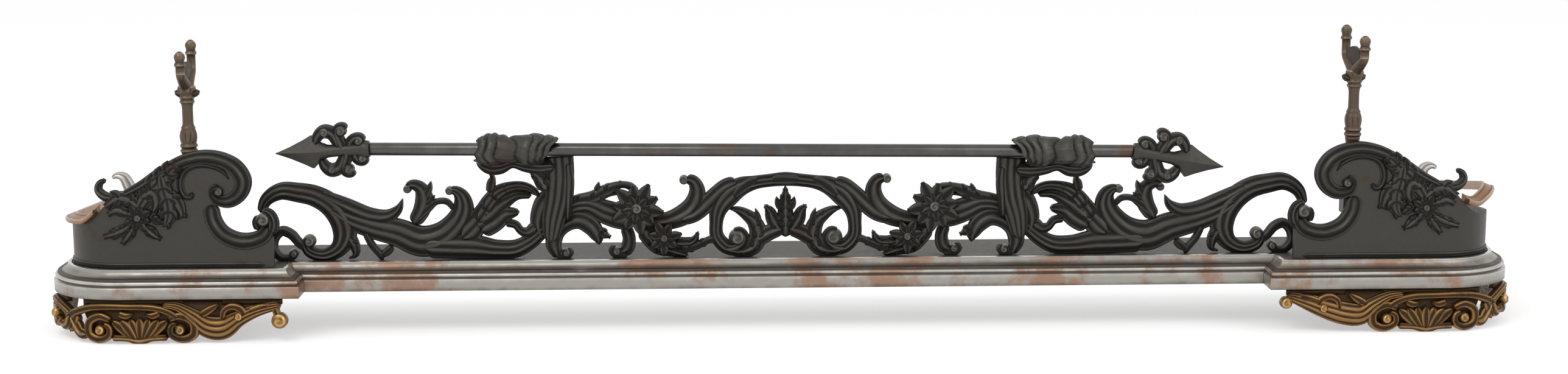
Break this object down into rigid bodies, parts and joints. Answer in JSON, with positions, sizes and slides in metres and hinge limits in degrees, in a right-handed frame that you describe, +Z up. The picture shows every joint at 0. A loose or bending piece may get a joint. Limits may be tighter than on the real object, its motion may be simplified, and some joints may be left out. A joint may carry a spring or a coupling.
{
  "type": "fire fender",
  "caption": "Hearth fender with scrolled end panels, a pierced leafwork fret, a sliding steel rail between leaf brackets, and a forked tool rest at each end.",
  "frame": {"origin": "on the hearth, under the middle of the whole fender", "axes": "+X to the right along the front, +Y towards the chimney breast, +Z up"},
  "size_m": [1.4536, 0.304, 0.2965],
  "materials": {
    "cast_iron": "waxed casting with rubbed high spots",
    "bright_steel": "polished, with spots of rust and a copper tint",
    "black_plate": "blackened sheet",
    "rail_steel": "drawn bar, rubbed",
    "copper_cap": "coppered, satin",
    "pale_steel": "worn bright",
    "brown_bronze": "brown patina",
    "gilt_brass": "gilt casting with dark recesses"
  },
  "bodies": {
    "fender": {"centre_moulding": "bright_steel", "left_block_moulding": "bright_steel", "right_block_moulding": "bright_steel", "centre_base_plate": "black_plate", "left_block_base_plate": "black_plate", "right_block_base_plate": "black_plate", "left_fret_wing": "cast_iron", "right_fret_wing": "cast_iron", "fret_centre": "cast_iron", "left_large_rosette": "cast_iron", "right_large_rosette": "cast_iron", "left_small_rosette": "cast_iron", "right_small_rosette": "cast_iron", "left_rail_bracket": "cast_iron", "right_rail_bracket": "cast_iron", "left_end_panel": "cast_iron", "right_end_panel": "cast_iron", "left_panel_garland": "cast_iron", "right_panel_garland": "cast_iron", "left_cap_rail": "copper_cap", "right_cap_rail": "copper_cap", "left_rear_hook": "pale_steel", "right_rear_hook": "pale_steel", "left_rest_socket": "cast_iron", "right_rest_socket": "cast_iron", "left_apron_foot": "gilt_brass", "right_apron_foot": "gilt_brass", "left_wall_foot": "cast_iron", "right_wall_foot": "cast_iron"},
    "rail": {"rail_tube": "rail_steel"},
    "left_head": {"left_spearhead": "cast_iron", "left_head_spigot": "rail_steel"},
    "right_head": {"right_spearhead": "cast_iron", "right_head_spigot": "rail_steel"},
    "left_rest": {"left_tool_rest": "brown_bronze"},
    "right_rest": {"right_tool_rest": "brown_bronze"}
  },
  "joints": [
    {"name": "rail_slide", "type": "slide", "parent": "fender", "child": "rail", "axis": [0.9999, 0, -0.0102], "range_m": [-0.035, 0.099]},
    {"name": "left_head_turn", "type": "hinge", "parent": "rail", "child": "left_head", "pos_m": [-0.40398, -0.11, 0.18232], "axis": [0.9999, 0, -0.0102], "continuous": true},
    {"name": "right_head_turn", "type": "hinge", "parent": "rail", "child": "right_head", "pos_m": [0.33998, -0.11, 0.17473], "axis": [0.9999, 0, -0.0102], "continuous": true},
    {"name": "left_rest_turn", "type": "hinge", "parent": "fender", "child": "left_rest", "pos_m": [-0.577, -0.1155, 0.1415], "axis": [0, 0, 1], "continuous": true},
    {"name": "right_rest_turn", "type": "hinge", "parent": "fender", "child": "right_rest", "pos_m": [0.555, -0.1155, 0.1415], "axis": [0, 0, 1], "continuous": true}
  ]
}
